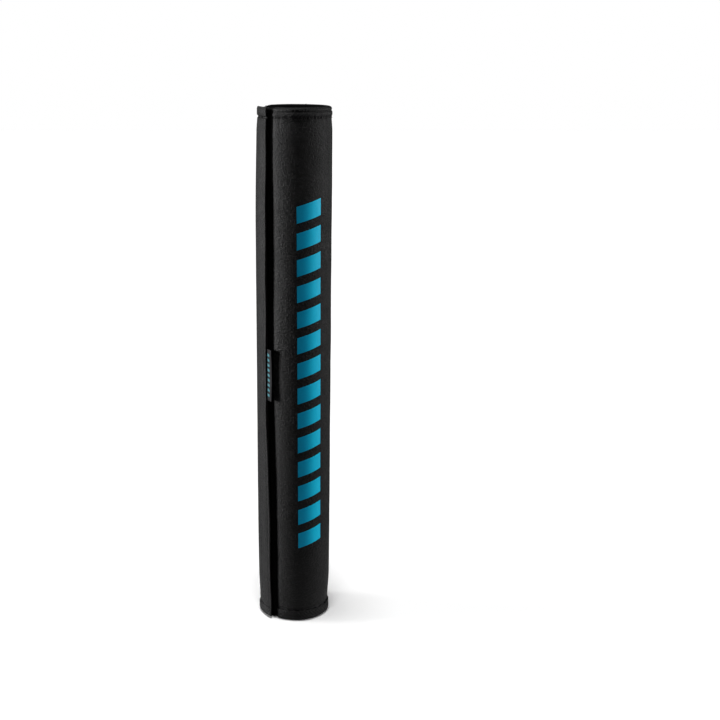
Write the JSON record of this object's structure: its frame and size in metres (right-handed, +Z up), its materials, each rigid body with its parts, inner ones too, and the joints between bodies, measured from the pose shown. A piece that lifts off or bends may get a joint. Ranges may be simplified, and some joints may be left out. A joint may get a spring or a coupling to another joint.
{
  "type": "roof rack pad",
  "caption": "Tubular foam pad in a sewn fabric cover, slit along one side and closed by a hook and loop flap, that wraps round a roof rack crossbar.",
  "frame": {"origin": "on the ground under the middle of the pad's outline", "axes": "+Z up along the tube, as it stands on one end; -Y is the printed front and -X the side with the flap"},
  "size_m": [0.0706, 0.0654, 0.5009],
  "materials": {
    "woven_cover": "black coarse plain weave with a slight sheen",
    "lining": "plain matt black",
    "foam": "closed-cell foam, matt",
    "loop_pile": "black brushed loop pile",
    "hook_tape": "black nylon hooks",
    "woven_tag": "dark grey satin weave",
    "transfer_film": "teal transfer film, semi-gloss"
  },
  "bodies": {
    "root": {"foam_core": "foam", "outer_cover": "woven_cover", "inner_lining": "lining", "closure_flap": "woven_cover", "loop_tape": "loop_pile", "hook_tape": "hook_tape", "side_tag": "woven_tag", "print_bar_01": "transfer_film", "print_bar_02": "transfer_film", "print_bar_03": "transfer_film", "print_bar_04": "transfer_film", "print_bar_05": "transfer_film", "print_bar_06": "transfer_film", "print_bar_07": "transfer_film", "print_bar_08": "transfer_film", "print_bar_09": "transfer_film", "print_bar_10": "transfer_film", "print_bar_11": "transfer_film", "print_bar_12": "transfer_film", "print_bar_13": "transfer_film", "print_bar_14": "transfer_film"}
  },
  "joints": []
}
